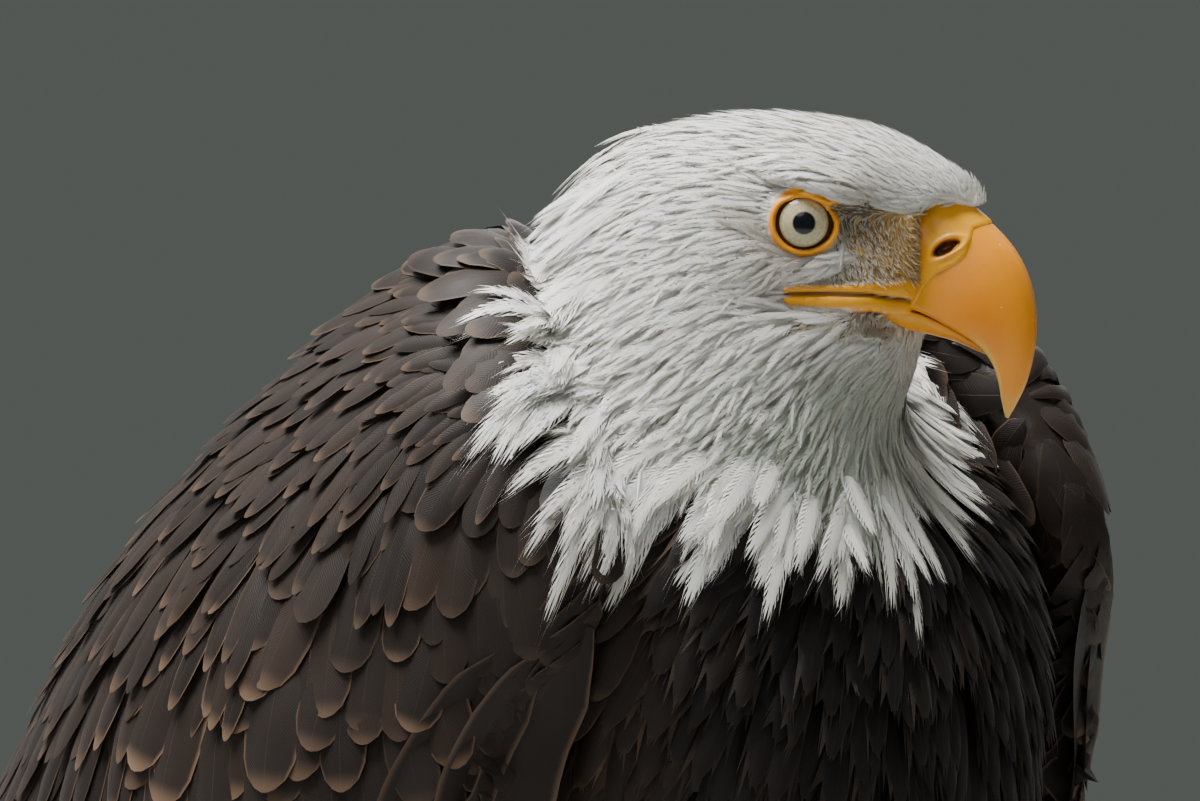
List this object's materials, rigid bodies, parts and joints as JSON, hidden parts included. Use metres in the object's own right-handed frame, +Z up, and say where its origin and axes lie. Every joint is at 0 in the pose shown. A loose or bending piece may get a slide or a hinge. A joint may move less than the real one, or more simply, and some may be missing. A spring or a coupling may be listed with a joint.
{
  "type": "bald eagle model",
  "caption": "Life-size standing bald eagle with folded wings, neck drawn in and head turned to its left.",
  "frame": {"origin": "on the floor, at the middle of the bird's width and of its length from beak to tail tip", "axes": "+Z up, -Y the way the breast faces, +X the bird's left"},
  "size_m": [0.2908, 0.4828, 0.5594],
  "materials": {
    "feathers_white": "soft white feathers",
    "feathers_brown": "dark brown feathers with paler edges",
    "horn_yellow": "smooth orange-yellow horn",
    "skin_yellow": "bare yellow skin and scales",
    "claw_black": "glossy black horn",
    "eye": "wet and glossy"
  },
  "bodies": {
    "root": {"trunk": "feathers_brown", "neck": "feathers_white", "head": "feathers_white", "cere": "skin_yellow", "beak_upper": "horn_yellow", "beak_lower": "horn_yellow", "eye_right": "eye", "eye_left": "eye", "wing_shoulder_right": "feathers_brown", "wing_shoulder_left": "feathers_brown", "wing_secondaries_right": "feathers_brown", "wing_secondaries_left": "feathers_brown", "wing_primaries_right": "feathers_brown", "wing_primaries_left": "feathers_brown", "tail": "feathers_white", "thigh_right": "feathers_brown", "thigh_left": "feathers_brown", "tarsus_right": "skin_yellow", "tarsus_left": "skin_yellow", "foot_right": "skin_yellow", "foot_left": "skin_yellow", "claw_hallux_right": "claw_black", "claw_hallux_left": "claw_black", "claw_inner_right": "claw_black", "claw_inner_left": "claw_black", "claw_middle_right": "claw_black", "claw_middle_left": "claw_black", "claw_outer_right": "claw_black", "claw_outer_left": "claw_black"}
  },
  "joints": []
}
